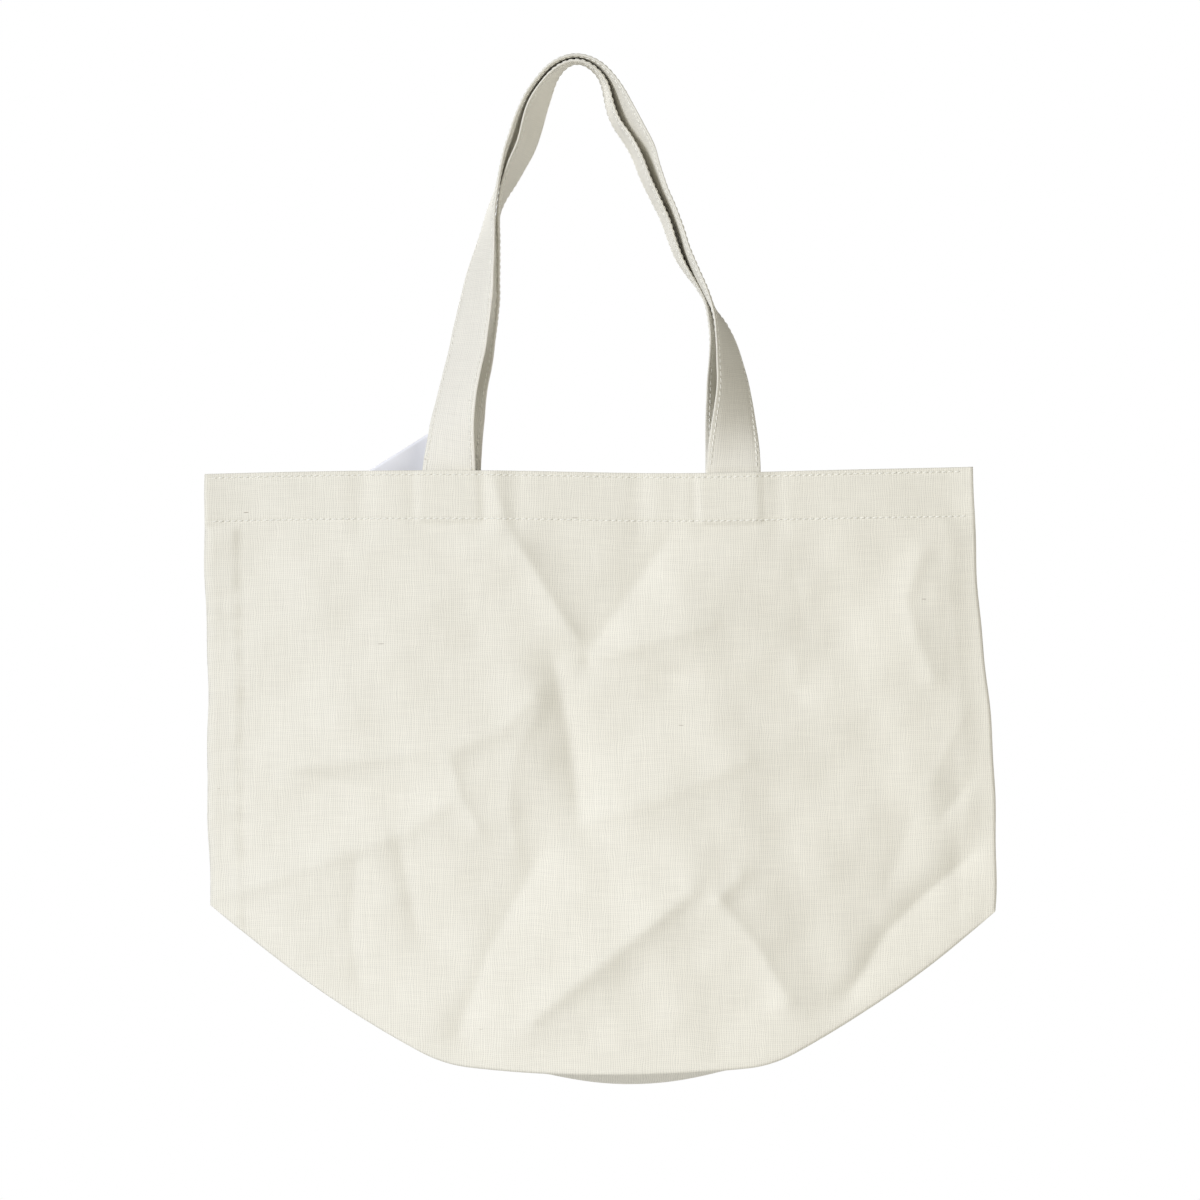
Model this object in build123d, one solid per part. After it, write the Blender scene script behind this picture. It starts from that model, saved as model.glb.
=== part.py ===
"""Canvas tote bag, hanging by its two handles.

Millimetres. X runs along the mouth, Y from front to back, Z up. The origin is the underside of the handles'
crest, where a peg or a hand carries the bag. The bag is two canvas panels sewn at the sides and under the
base, with a folded hem, two sewn-in strap handles and a label.
"""

import math
import os

from build123d import *

# Driving dimensions of the bag
MOUTH_WIDTH = 420.0
MOUTH_DEPTH = 36.0
CORNER_WIDTH = 430.0
CORNER_DROP = 238.0
BASE_WIDTH = 176.0
BASE_DEPTH = 62.0
BASE_DROP = 322.0
BAG_HEIGHT = 334.0
SLANT_BOW = 5.5
CANVAS = 1.0
HEM_HEIGHT = 27.3
SEAM_ALLOWANCE = 13.0

# Driving dimensions of the handles
STRAP_WIDTH = 30.0
STRAP_THICKNESS = 2.2
STRAP_SPACING = 153.0
HANDLE_RISE = 224.0
CREST_RADIUS = 24.0
CREST_STEP = 5.2
TWIST_SPAN = 0.8
LEG_SECTIONS = 9
CREST_SECTIONS = 9

# Driving dimensions of the label and the sewing thread
LABEL_LENGTH = 46.0
LABEL_WIDTH = 34.0
LABEL_THICKNESS = 0.4
LABEL_TILT = 32.0
LABEL_CORNER_X = -120.0
LABEL_GAP = 3.4
THREAD = 0.5
MOUTH_THREAD_DROP = 2.4
HEM_THREAD_DROP = 26.3

# Main folds of the hanging cloth. Each has a height, out of the panel or into it, its reach to the left and
# to the right of its line as the line runs, and the line's points: along the mouth and down from it.
FRONT_FOLDS = (
    (4.0, 36, 18, ((-40, 44), (-10, 87))),
    (-3.0, 10, 16, ((40, 46), (14, 81))),
    (-2.6, 22, 10, ((16, 108), (108, 119))),
    (-3.0, 12, 14, ((-16, 118), (-6, 176))),
    (2.6, 20, 22, ((20, 184), (84, 159))),
    (2.6, 34, 15, ((-48, 137), (-70, 150), (-158, 161))),
    (3.6, 20, 18, ((-92, 191), (-127, 207), (-165, 220))),
    (-2.6, 12, 20, ((-126, 240), (-127, 266))),
    (-2.6, 16, 12, ((-32, 222), (-66, 296))),
    (4.0, 20, 16, ((44, 239), (-22, 292))),
    (2.2, 20, 15, ((75, 240), (102, 278))),
    (-3.6, 20, 16, ((176, 230), (148, 258))),
)
BACK_FOLDS = (
    (3.4, 12, 24, ((40, 46), (12, 104))),
    (-2.8, 26, 12, ((-46, 46), (-14, 88))),
    (2.4, 14, 16, ((-28, 122), (-136, 147))),
    (-2.4, 20, 12, ((40, 127), (146, 164))),
    (2.6, 22, 30, ((-150, 66), (-151, 104))),
    (-2.6, 14, 14, ((8, 136), (-2, 200), (18, 270))),
    (3.2, 14, 16, ((128, 195), (44, 264))),
    (-3.4, 24, 18, ((-165, 222), (-128, 258))),
)
FOLD_END = 12.0
RIDGE_RIM = -0.5
VALLEY_RIM = 0.8

# Gaps that keep loose pieces apart, and spare length for cutting
CLEARANCE = 0.6
MARGIN = 20.0

# Levels and places that follow
MOUTH_Z = -HANDLE_RISE
HEM_Z = MOUTH_Z - HEM_HEIGHT
CORNER_Z = MOUTH_Z - CORNER_DROP
BASE_EDGE_Z = MOUTH_Z - BASE_DROP
BASE_Z = MOUTH_Z - BAG_HEIGHT
CREST_CENTRE_Z = STRAP_THICKNESS / 2 - CREST_RADIUS
STRAP_X = STRAP_SPACING / 2
INNER_FACE = 2 * CANVAS
STRAP_FACE = INNER_FACE + STRAP_THICKNESS


def half_width(level):
    """Half the width between the side seams at a level."""
    spread = (CORNER_WIDTH - MOUTH_WIDTH) / 2
    return MOUTH_WIDTH / 2 + spread * (MOUTH_Z - level) / CORNER_DROP


def half_depth(level):
    """Half the distance between the panels, midway along the bag, at a level."""
    spread = (BASE_DEPTH - MOUTH_DEPTH) / 2
    return MOUTH_DEPTH / 2 + spread * (MOUTH_Z - level) / BAG_HEIGHT


def bow_radius(level):
    """Radius of the arc in which a panel bows between its side seams."""
    wide = half_width(level)
    deep = half_depth(level)
    return (wide * wide + deep * deep) / (2 * deep)


def panel_depth(x, level):
    """How far the outside of a panel stands from the bag's middle plane."""
    radius = bow_radius(level)
    return math.sqrt(radius * radius - x * x) - radius + half_depth(level)


def lens(inset, level):
    """Level section of the bag between its two bowed panels, drawn in by an inset."""
    radius = bow_radius(level)
    deep = half_depth(level)
    tip = math.sqrt((radius - inset) ** 2 - (radius - deep) ** 2)
    left = (-tip, 0, level)
    right = (tip, 0, level)
    front = ThreePointArc(left, (0, inset - deep, level), right)
    back = ThreePointArc(right, (0, deep - inset, level), left)
    return make_face([front, back])


def outline(inset):
    """Front view of the bag: slanted lower edges that bow a little, and a base that sags in a shallow arc."""
    far = CORNER_WIDTH / 2 + MARGIN
    slope = (CORNER_Z - BASE_EDGE_Z) / (CORNER_WIDTH - BASE_WIDTH) * 2
    far_z = CORNER_Z + slope * MARGIN
    top_z = MOUTH_Z + 2 * MARGIN
    mid_x = (CORNER_WIDTH + BASE_WIDTH) / 4
    mid_z = (CORNER_Z + BASE_EDGE_Z) / 2 - SLANT_BOW
    right = (BASE_WIDTH / 2, BASE_EDGE_Z)
    left = (-BASE_WIDTH / 2, BASE_EDGE_Z)
    right_corner = (CORNER_WIDTH / 2, CORNER_Z)
    left_corner = (-CORNER_WIDTH / 2, CORNER_Z)
    walls = Polyline(right_corner, (far, far_z), (far, top_z), (-far, top_z), (-far, far_z), left_corner)
    right_slant = ThreePointArc(right, (mid_x, mid_z), right_corner)
    left_slant = ThreePointArc(left_corner, (-mid_x, mid_z), left)
    base = ThreePointArc(left, (0, BASE_Z), right)
    face = make_face([right_slant, walls, left_slant, base])
    if inset:
        face = offset(face, amount=-inset, kind=Kind.INTERSECTION)
    return Plane.XZ * face


def pocket(inset, top):
    """Solid space of the bag, drawn in by an inset and cut level at the top."""
    sections = [lens(inset, MOUTH_Z + MARGIN), lens(inset, BASE_Z - MARGIN)]
    prism = extrude(outline(inset), BASE_DEPTH, both=True)
    body = loft(sections, ruled=True) & prism
    return body & slab(high_z=top)


def slab(low_x=-400, high_x=400, low_y=-100, high_y=100, low_z=-700, high_z=100):
    """Box between given limits, for cutting."""
    block = Box(high_x - low_x, high_y - low_y, high_z - low_z)
    return Pos((low_x + high_x) / 2, (low_y + high_y) / 2, (low_z + high_z) / 2) * block


def cloth_layer(outer, inner):
    """Layer of cloth between two insets from the outside of the bag, open at the mouth."""
    return pocket(outer, MOUTH_Z) - pocket(inner, MOUTH_Z + MARGIN / 2)


def front(layer, **limits):
    """Front half of a layer, within limits."""
    return layer & slab(high_y=0, **limits)


def back(layer, **limits):
    """Back half of a layer, within limits."""
    return layer & slab(low_y=0, **limits)


def fold_solid(side, fold, start, end, sink):
    """Low tent between the crest and the rim of a fold, sunk into the front panel (side -1) or back (1)."""
    height, left, right, _ = fold
    length = math.dist(start, end)
    run_x = (end[0] - start[0]) / length
    run_z = (end[1] - start[1]) / length
    rim_level = RIDGE_RIM if height > 0 else VALLEY_RIM

    def spot(base, forward, aside, lift):
        x = base[0] + run_x * forward + run_z * aside
        level = MOUTH_Z - base[1] - run_z * forward + run_x * aside
        return Vector(x, side * (panel_depth(x, level) + lift - sink), level)

    rim = [
        spot(start, -FOLD_END, 0, rim_level),
        spot(start, 0, right, rim_level),
        spot(end, 0, right, rim_level),
        spot(end, FOLD_END, 0, rim_level),
        spot(end, 0, -left, rim_level),
        spot(start, 0, -left, rim_level),
    ]
    low = spot(start, 0, 0, height)
    high = spot(end, 0, 0, height)
    corners = [(low, rim[5], rim[0]), (low, rim[0], rim[1]), (low, rim[1], high), (low, high, rim[4])]
    corners += [(high, rim[1], rim[2]), (high, rim[2], rim[3]), (high, rim[3], rim[4]), (low, rim[4], rim[5])]
    corners += [(rim[0], rim[5], rim[1]), (rim[1], rim[5], rim[4])]
    corners += [(rim[1], rim[4], rim[2]), (rim[2], rim[4], rim[3])]
    return Solid(Shell([Face(Wire.make_polygon(corner)) for corner in corners]))


def folded(panel, side, folds):
    """A panel with its main folds pressed out of it or into it, at the same thickness."""
    for fold in folds:
        lines = list(zip(fold[3][:-1], fold[3][1:]))
        outer = [fold_solid(side, fold, start, end, 0) for start, end in lines]
        inner = [fold_solid(side, fold, start, end, CANVAS) for start, end in lines]
        if fold[0] > 0:
            panel = panel + outer - inner
        else:
            panel = panel + inner - outer
    return panel


def handle_end(layer, half, side):
    """Sewn end of a handle, flat against the inside of the hem."""
    limits = {
        "low_x": side * STRAP_X - STRAP_WIDTH / 2,
        "high_x": side * STRAP_X + STRAP_WIDTH / 2,
        "low_z": HEM_Z + CANVAS,
    }
    return half(layer, **limits)


def leg_angle(radius):
    """Lean of a handle's leg from upright, where it runs straight into the crest's arc."""
    drop = CREST_CENTRE_Z - MOUTH_Z
    reach = math.hypot(STRAP_X, drop)
    return math.acos(radius / reach) - math.atan2(drop, STRAP_X)


def strap_section(place, inward, along, twist):
    """Cross-section of a strap, turned about its own length by the twist."""
    width = inward * math.cos(twist) - Vector(0, math.sin(twist), 0)
    return Plane(origin=place, x_dir=width, z_dir=along) * Rectangle(STRAP_WIDTH, STRAP_THICKNESS)


def handle(radius, root_y):
    """One handle: it faces forward at the hem and turns edge-on where it passes over the crest."""
    lean = leg_angle(radius)
    turn_x = radius * math.cos(lean)
    turn_z = CREST_CENTRE_Z + radius * math.sin(lean)
    root_z = MOUTH_Z - MARGIN / 4
    root_x = turn_x + (turn_z - root_z) * math.tan(lean)
    rising = []
    for step in range(LEG_SECTIONS):
        share = step / LEG_SECTIONS
        x = root_x + (turn_x - root_x) * share
        z = root_z + (turn_z - root_z) * share
        turned = min(share / TWIST_SPAN, 1)
        twist = math.pi / 2 * math.sin(math.pi / 2 * turned)
        rising.append((x, root_y * (1 - share), z, lean, twist))
    crest = []
    for step in range(CREST_SECTIONS):
        angle = lean + (math.pi - 2 * lean) * step / (CREST_SECTIONS - 1)
        x = radius * math.cos(angle)
        z = CREST_CENTRE_Z + radius * math.sin(angle)
        crest.append((x, 0, z, angle, math.pi / 2))
    falling = [(-x, y, z, math.pi - angle, twist) for x, y, z, angle, twist in reversed(rising)]
    sections = []
    for x, y, z, angle, twist in rising + crest + falling:
        inward = Vector(-math.cos(angle), 0, -math.sin(angle))
        along = Vector(-math.sin(angle), 0, math.cos(angle))
        sections.append(strap_section((x, y, z), inward, along, twist))
    strap = loft(sections, ruled=True)
    return strap & slab(low_z=MOUTH_Z + CLEARANCE)


def label():
    """Care label: a tilted rectangle of satin standing up out of the mouth, in front of the back hem."""
    face_y = panel_depth(LABEL_CORNER_X, MOUTH_Z) - INNER_FACE - LABEL_GAP - LABEL_THICKNESS
    patch = Rectangle(LABEL_LENGTH, LABEL_WIDTH, align=(Align.MIN, Align.MAX))
    patch = Pos(LABEL_CORNER_X, MOUTH_Z) * Rot(0, 0, LABEL_TILT) * patch
    return Pos(0, face_y, 0) * extrude(Plane.XZ * patch, -LABEL_THICKNESS)


def thread(drop, half):
    """Row of stitching round one half of the bag, as a thin bead on the cloth."""
    level = MOUTH_Z - drop
    reach = half_width(level) - CANVAS
    band = cloth_layer(-THREAD, 0)
    return half(band, low_x=-reach, high_x=reach, low_z=level - THREAD / 2, high_z=level + THREAD / 2)


def build():
    """All the pieces, by node name."""
    shell = cloth_layer(0, CANVAS)
    lining = cloth_layer(CANVAS, INNER_FACE)
    strap_layer = cloth_layer(INNER_FACE, STRAP_FACE)
    root_y = panel_depth(STRAP_X, MOUTH_Z) - INNER_FACE - STRAP_THICKNESS / 2
    seam_start = CORNER_WIDTH / 2 - CANVAS - 2 * SEAM_ALLOWANCE
    seam = {"low_z": CORNER_Z + SEAM_ALLOWANCE, "high_z": HEM_Z - CLEARANCE}
    base_reach = BASE_WIDTH / 2 - CANVAS
    base = {"low_x": -base_reach, "high_x": base_reach, "high_y": SEAM_ALLOWANCE}
    parts = {
        "front_panel": folded(front(shell), -1, FRONT_FOLDS),
        "back_panel": folded(back(shell), 1, BACK_FOLDS),
        "front_hem": front(lining, low_z=HEM_Z),
        "back_hem": back(lining, low_z=HEM_Z),
        "left_seam_allowance": front(lining, high_x=-seam_start, **seam),
        "right_seam_allowance": front(lining, low_x=seam_start, **seam),
        "base_seam_allowance": back(lining, high_z=BASE_EDGE_Z + SEAM_ALLOWANCE, **base),
        "front_handle": handle(CREST_RADIUS + CREST_STEP, -root_y),
        "back_handle": handle(CREST_RADIUS, root_y),
        "label": label(),
    }
    for half_name, half in (("front", front), ("back", back)):
        for side_name, side in (("left", -1), ("right", 1)):
            parts[f"{half_name}_{side_name}_handle_end"] = handle_end(strap_layer, half, side)
        parts[f"{half_name}_mouth_thread"] = thread(MOUTH_THREAD_DROP, half)
        parts[f"{half_name}_hem_thread"] = thread(HEM_THREAD_DROP, half)
    return parts


def main():
    os.makedirs("parts", exist_ok=True)
    for name, shape in build().items():
        export_step(shape, f"parts/{name}.step")


if __name__ == "__main__":
    main()
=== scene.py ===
"""Dresses the canvas tote bag: creased panels, strap handles, stitching, label, finishes and studio."""

import math

import bpy
import numpy as np
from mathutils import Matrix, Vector


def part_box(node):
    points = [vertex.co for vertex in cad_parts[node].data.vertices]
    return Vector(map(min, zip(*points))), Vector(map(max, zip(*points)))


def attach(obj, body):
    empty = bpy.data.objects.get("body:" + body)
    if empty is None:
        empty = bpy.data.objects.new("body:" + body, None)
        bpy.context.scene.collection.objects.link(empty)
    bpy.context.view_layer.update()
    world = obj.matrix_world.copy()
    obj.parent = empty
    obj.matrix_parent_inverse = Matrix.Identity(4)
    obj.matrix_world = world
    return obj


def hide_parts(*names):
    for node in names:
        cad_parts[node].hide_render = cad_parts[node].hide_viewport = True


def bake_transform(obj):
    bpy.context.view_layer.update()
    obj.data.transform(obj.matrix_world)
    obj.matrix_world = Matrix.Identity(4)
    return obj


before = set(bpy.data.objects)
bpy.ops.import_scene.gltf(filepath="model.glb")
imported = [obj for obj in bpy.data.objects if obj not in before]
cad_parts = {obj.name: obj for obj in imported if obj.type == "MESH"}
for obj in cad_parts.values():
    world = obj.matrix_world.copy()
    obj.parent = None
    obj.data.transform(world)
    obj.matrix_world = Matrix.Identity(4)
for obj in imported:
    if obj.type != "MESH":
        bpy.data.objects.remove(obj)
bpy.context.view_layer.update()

bl_info = {
    "name": "Canvas tote bag",
    "version": (1, 0, 0),
    "blender": (4, 5, 0),
    "location": "View3D > Sidebar > Tote",
    "description": "Makes the cloth, handles, stitching and label of a canvas tote bag",
    "category": "Object",
}

MM = 0.001
TINY = 1e-12
MOUTH_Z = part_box("front_panel")[1].z
LABEL_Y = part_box("label")[0].y

# Sides of the bag: the front faces -Y and the back +Y
FRONT = -1
BACK = 1
SIDES = (("front", FRONT), ("back", BACK))

# Folds of the front panel. Each has a height in mm, out of the panel or into it, how far it reaches on one
# side of its line and on the other, and the line's points: mm to the right of the middle and mm below the
# mouth.
FRONT_FOLDS = (
    (4.0, 22, 10, ((-54, 3), (-43, 32), (-15, 79), (-2, 98))),
    (-2.0, 7, 7, ((-3, 97), (0, 102))),
    (-3.0, 18, 14, ((42, 38), (1, 98))),
    (-2.6, 20, 10, ((1, 105), (56, 112), (86, 116), (113, 120))),
    (1.5, 7, 12, ((4, 101), (67, 83))),
    (0.8, 8, 8, ((113, 103), (115, 117))),
    (-1.0, 16, 16, ((113, 57), (119, 90))),
    (2.2, 18, 12, ((182, 46), (174, 71), (179, 92), (187, 112))),
    (-0.9, 10, 10, ((100, 120), (217, 123))),
    (-0.5, 6, 6, ((-92, 207), (111, 207))),
    (-3.0, 12, 16, ((-18, 106), (-10, 142), (-4, 191))),
    (2.6, 12, 25, ((-2, 192), (42, 177), (86, 158))),
    (2.6, 20, 9, ((-29, 123), (-48, 142), (-70, 150), (-114, 157), (-163, 162))),
    (-1.5, 18, 8, ((-169, 164), (-122, 172), (-78, 181))),
    (3.6, 22, 11, ((-78, 183), (-100, 198), (-127, 207), (-188, 229))),
    (1.4, 5, 6, ((-75, 158), (-70, 177), (-60, 194))),
    (1.5, 18, 10, ((-26, 128), (-40, 155), (-43, 177), (-40, 205))),
    (-1.6, 8, 14, ((-126, 215), (-129, 250), (-124, 280))),
    (-1.8, 8, 10, ((-103, 202), (-93, 249))),
    (-2.6, 10, 18, ((-29, 216), (-54, 262), (-70, 306))),
    (4.0, 24, 10, ((56, 229), (15, 262), (-29, 298))),
    (1.5, 6, 6, ((71, 232), (83, 221))),
    (2.2, 12, 9, ((72, 235), (91, 257), (108, 287))),
    (-4.0, 12, 26, ((220, 199), (187, 227), (163, 251), (143, 284))),
    (-1.2, 12, 12, ((176, 188), (165, 221))),
    (1.4, 12, 12, ((204, 131), (185, 169))),
    (-1.0, 6, 6, ((193, 186), (209, 166))),
)

# Folds of the back panel, in the same terms
BACK_FOLDS = (
    (3.4, 12, 20, ((62, 4), (38, 46), (12, 104))),
    (-2.8, 16, 12, ((-48, 42), (2, 108))),
    (2.4, 18, 10, ((10, 112), (-60, 130), (-140, 148))),
    (-2.4, 12, 18, ((18, 120), (84, 134), (150, 166))),
    (2.6, 14, 20, ((-150, 60), (-142, 110), (-156, 160))),
    (-2.6, 14, 14, ((8, 130), (-4, 206), (22, 280))),
    (3.2, 20, 10, ((150, 178), (92, 206), (40, 268))),
    (-3.4, 20, 12, ((-206, 196), (-150, 232), (-118, 276))),
    (2.0, 12, 14, ((-60, 190), (-96, 226), (-80, 292))),
)

# Dips and swells along a hem: height and place along the mouth, and how far each reaches, all in mm
HEM_WAVES = ((-0.9, -123), (-0.8, -59), (-0.9, -40), (-0.9, 28), (0.6, 56), (-0.8, 102))
HEM_WAVE_REACH = 7

# How round a fold's crest is, and the least distance from its line at which a point has a side
FOLD_ROUNDING = 1.2 * MM
SMALLEST_GAP = 0.001 * MM

# Slack of the loose cloth: each wave's length in metres and its height from trough to crest in mm
SLACK_WAVES = ((0.16, 0.8), (0.11, 0.6), (0.075, 0.45), (0.05, 0.4), (0.032, 0.28), (0.02, 0.1))
SLACK_DIRECTIONS = 3
SLACK_SEEDS = {FRONT: 7, BACK: 23}

# Where folds die out: the share left at the hem and at the base, the share that the handles' ends take away,
# and the distances over which they fade
HEM_FOLDS = 0.55
HEM_FADE = 20 * MM
BASE_FOLDS = 0.3
BASE_FADE = 22 * MM
STRAP_CALM = 0.8
STRAP_FADE = 14 * MM
SIDE_FADE = 24 * MM

# Unevenness of the side edges: height in mm, the length of one radian in metres, and the angle at its start
SIDE_WAVES = ((0.6, 0.021, 0.4), (0.25, 0.0075, 1.9))

# Ridges that the seam allowances press through the cloth, at the front's two sides and at the back's
LEFT_RIDGE = 1.2 * MM
RIGHT_RIDGE = 0.35 * MM
BACK_RIDGE = 0.2 * MM
RIDGE_SOFTNESS = 5 * MM
RIDGE_EDGE = 4 * MM

# Puckers along the left ridge: their height, the length of one radian, and how their spacing drifts
SEAM_PUCKER = 0.4 * MM
PUCKER_WAVE = 2.7 * MM
PUCKER_DRIFT = 2
PUCKER_DRIFT_WAVE = 5 * PUCKER_WAVE

# The mouth sags between the handles and tips by a share of the askew, and the right side bulges
MOUTH_SAG = 1.9 * MM
MOUTH_SAG_X = 46 * MM
MOUTH_SAG_REACH = 75 * MM
MOUTH_TIP = 0.57
SIDE_BULGE = 33 * MM

# Where the handles are sewn in and how they show through, and the two rows of stitching with their grooves
STRAP_X = 76.5 * MM
STRAP_HALF = 15 * MM
STRAP_END_DROP = 26 * MM
STRAP_PRINT = 1.2 * MM
STRAP_PRINT_EDGE = 4 * MM
MOUTH_ROW = 2.4 * MM
HEM_ROW = 26.3 * MM
ROW_GROOVES = ((MOUTH_ROW, 0.35 * MM), (HEM_ROW, 0.45 * MM))
GROOVE_REACH = 1.1 * MM
HEM_STEP = 0.5 * MM
HEM_STEP_REACH = 2.5 * MM

# Layers between the middle plane and the outside at the side edges, in thicknesses of canvas, and how soon
# and how softly the edges close below the hem
HEM_LAYERS = 2.2
SEAM_LAYERS = 1.05
EDGE_CLOSING = 4 * MM
EDGE_EASE = 0.4 * MM

# How finely the panels are divided, and how they turn under at the base
PANEL_COLUMNS = 216
HEM_ROWS = 12
TURN_ROWS = 4
FINE_DROP = 32 * MM
FINE_ROWS = 64
WALL_ROWS = 132
BASE_ROWS = 8
BASE_ROUNDING = 5 * MM
BASE_TURN = 2 * MM
BASE_TURN_SHARE = 0.45
BASE_SAG = 7 * MM
SAG_X = 15 * MM
SAG_REACH = 55 * MM

# Paths of the handles, from the sewn end on the left over the crest to the one on the right. Each row says
# how far right the strap's inner edge is, how far behind the middle plane the strap runs and how high that
# edge is above the mouth, all in mm, and how many degrees the strap has turned edge-on.
FRONT_STRAP = (
    (-61, -12.4, -24, 0),
    (-61, -12.4, -4, 8),
    (-62, -12.6, 10, 26),
    (-62, -16.5, 23, 35),
    (-60, -15.5, 43, 45),
    (-55.5, -11, 69, 48),
    (-52, -7, 95, 55),
    (-51, -5, 118, 66),
    (-50.5, -4, 142, 81),
    (-50, -3, 152, 87),
    (-48.8, -2, 162, 93),
    (-46, -1, 174, 98),
    (-39.5, 0, 192, 100),
    (-31.5, 0, 209, 97),
    (-21.5, 0, 221, 92),
    (-7, 0, 227, 86),
    (8, -3, 221, 94),
    (20, -5, 207, 105),
    (29.5, -5, 187.5, 109),
    (36, -2, 177.5, 108),
    (42, 0, 157.5, 105),
    (46.5, -1, 147, 102),
    (51.5, -2, 131.5, 99),
    (57, -4, 116, 98),
    (63, -6, 102, 97),
    (68, -8, 91, 91),
    (69.8, -9, 78, 77),
    (70.5, -10, 63, 64),
    (69.5, -11, 42, 49),
    (66.5, -12, 20, 27),
    (64.5, -12.4, 2, 6),
    (64.5, -12.4, -24, 0),
)
BACK_STRAP = (
    (-59, 12.4, -24, 0),
    (-59, 12.4, -3, 2),
    (-58.5, 12.2, 8, 10),
    (-56, 12, 36, 40),
    (-52, 10, 56, 62),
    (-50, 8, 80, 76),
    (-48.4, 6, 104, 80),
    (-48.6, 4, 122, 84),
    (-48.6, 2, 140, 88),
    (-48, 1, 149, 93),
    (-46.8, 1, 157, 101),
    (-43, 0, 169, 107),
    (-38.5, 0, 180, 110),
    (-35.5, 0, 194, 112),
    (-31, 0, 203.5, 110),
    (-24, 0, 213.5, 102),
    (-15, 0, 221, 92),
    (-6.5, 0, 224.3, 86),
    (4, 0, 220, 88),
    (10.5, 3, 212.5, 93),
    (14, 5, 197.5, 97),
    (20, 5, 187, 97),
    (25.5, 2, 178.5, 97),
    (30, 0, 169, 97),
    (33.8, 0, 157, 96),
    (38.5, 0, 148.5, 96),
    (44, 1, 138.5, 95),
    (46.8, 2, 130, 95),
    (48.3, 3, 122, 94),
    (53.3, 4, 111, 92),
    (57.5, 5, 103.5, 90),
    (64, 7, 92.5, 85),
    (66.5, 8, 78, 78),
    (65.5, 10, 53, 57),
    (64.3, 12, 28, 28),
    (64.5, 12.4, 4, 3),
    (64.5, 12.4, -24, 0),
)
HANDLES = (("front", FRONT_STRAP, 11), ("back", BACK_STRAP, 29))

# How a strap's path is divided and smoothed, where its stitching starts, and where it bends over the hem
CURVE_STEPS = 24
STRAP_STEP = 2 * MM
STRAP_EASE = 15
STRAP_ROW_START = 12

# A strap's two faces, how square its edges are, its stitching's groove, and its unevenness: each wave's
# length in metres and its height in mm
INNER = 1
OUTER = -1
STRAP_SQUARENESS = 8
STRAP_GROOVE = 0.3 * MM
STRAP_GROOVE_REACH = 0.8 * MM
STRAP_WAVES = ((0.085, 0.3), (0.052, 0.2), (0.031, 0.12), (0.017, 0.05))
STRAP_SKEW = 0.8
FACES_APART = 0.1

# Cloth turned in at the seams
LAYER_GAP = 0.1 * MM
SEAM_INSET = 8 * MM
SEAM_ROWS = 70
SEAM_COLUMNS = 12
BASE_STRIP_ROWS = 8
BASE_STRIP_COLUMNS = 60
BASE_STRIP_SHARE = 0.97
BASE_STRIP_CLEAR = 0.4 * MM
STRIP_THINNING = 0.9

# Label: its upper left corner, how it curls, and how finely it is divided
LABEL_CORNER_X = -120 * MM
LABEL_THICKNESS = 0.3 * MM
LABEL_CURL = 1.6 * MM
LABEL_WAVE = 0.5 * MM
LABEL_WAVE_ANGLES = (5, 2)
LABEL_ROWS = 24
LABEL_COLUMNS = 36

# Camera, floor and world, with the share of plain white that the camera sees on the floor
CAMERA_DISTANCE = 3.2
CAMERA_X = 6.6 * MM
CAMERA_Z = -0.295
VIEW_WIDTH = 0.657
FLOOR_Z = -0.80
FLOOR_HALF_X = 1.0
FLOOR_NEAR_Y = -0.9
FLOOR_FAR_Y = 0.6
FLOOR_COLOUR = (0.85, 0.85, 0.85)
FLOOR_ROUGHNESS = 0.9
FLOOR_WHITE = 0.92
WORLD_COLOUR = (1.0, 0.96, 0.82)
WORLD_STRENGTH = 0.21

# Lamps: name, place in metres, size of the soft box, colour and watts
LAMPS = (
    ("key_light", (-6.4, -6.2, 2.7), 3.6, (0.97, 0.99, 1.05), 680),
    ("fill_light", (0.75, -1.15, -0.3), 0.8, (1.0, 0.97, 0.90), 5.3),
    ("back_light", (-0.9, 2.0, 0.5), 1.0, (1.0, 1.0, 1.0), 32),
)
LAMP_AIM = Vector((0, 0, -0.3))

# Weave: distance from yarn to yarn, how long a yarn stays as thick, and how far the yarns wander, as an angle
WARP_PITCH = 1.26 * MM
WEFT_PITCH = 1.05 * MM
WARP_RUN = 22 * MM
WEFT_RUN = 18 * MM
YARN_WANDER = 9.0
WANDER_CELL = (6 * MM, 11 * MM)
GAP_ALONG_WARP = 0.4

# Flecks: the cell that may hold one, how many cells do, and the least and the spread of their size and shade
FLECK_CELL = (34 * MM, 5 * MM)
FLECK_CHANCE = 0.016
FLECK_SIZE = (0.02, 0.045)
FLECK_SHADE = (0.3, 0.4)

# Finish of the cloth: its plain tone, what thick yarns add, the painted shade that darkens the gaps between
# yarns, and the weave's relief
CLOTH_ROUGHNESS = 0.92
CLOTH_SPECULAR = 0.2
CLOTH_TONE = 0.97
STREAK_TONE = 0.16
# Painted shade: how much darker the colour is made in the gaps between the yarns
GAP_PAINTED_SHADE = 0.20
WEAVE_RELIEF = 0.25 * MM
CLOTH_BUMP = {"canvas": 0.12, "strap": 0.10}

# Roughness and sheen of the plain finishes
PLAIN_FINISH = {"thread": (0.8, 0.2), "label": (0.42, 0.1)}

# Shape of one stitch: how far along its length each ring is and how thick the thread is there, how far it
# slants and rises, and the steps in which the cloth's slope is measured under it
STITCH_END = 0.45
STITCH_RINGS = ((-1.0, STITCH_END), (-0.72, 0.85), (0.0, 1.0), (0.72, 0.85), (1.0, STITCH_END))
STITCH_SIDES = 6
STITCH_SLANT = 0.16
STITCH_RISE = 0.9
STEP_AHEAD = 0.2 * MM
STEP_DOWN = 0.4 * MM
LINE_END = 4 * MM


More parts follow.
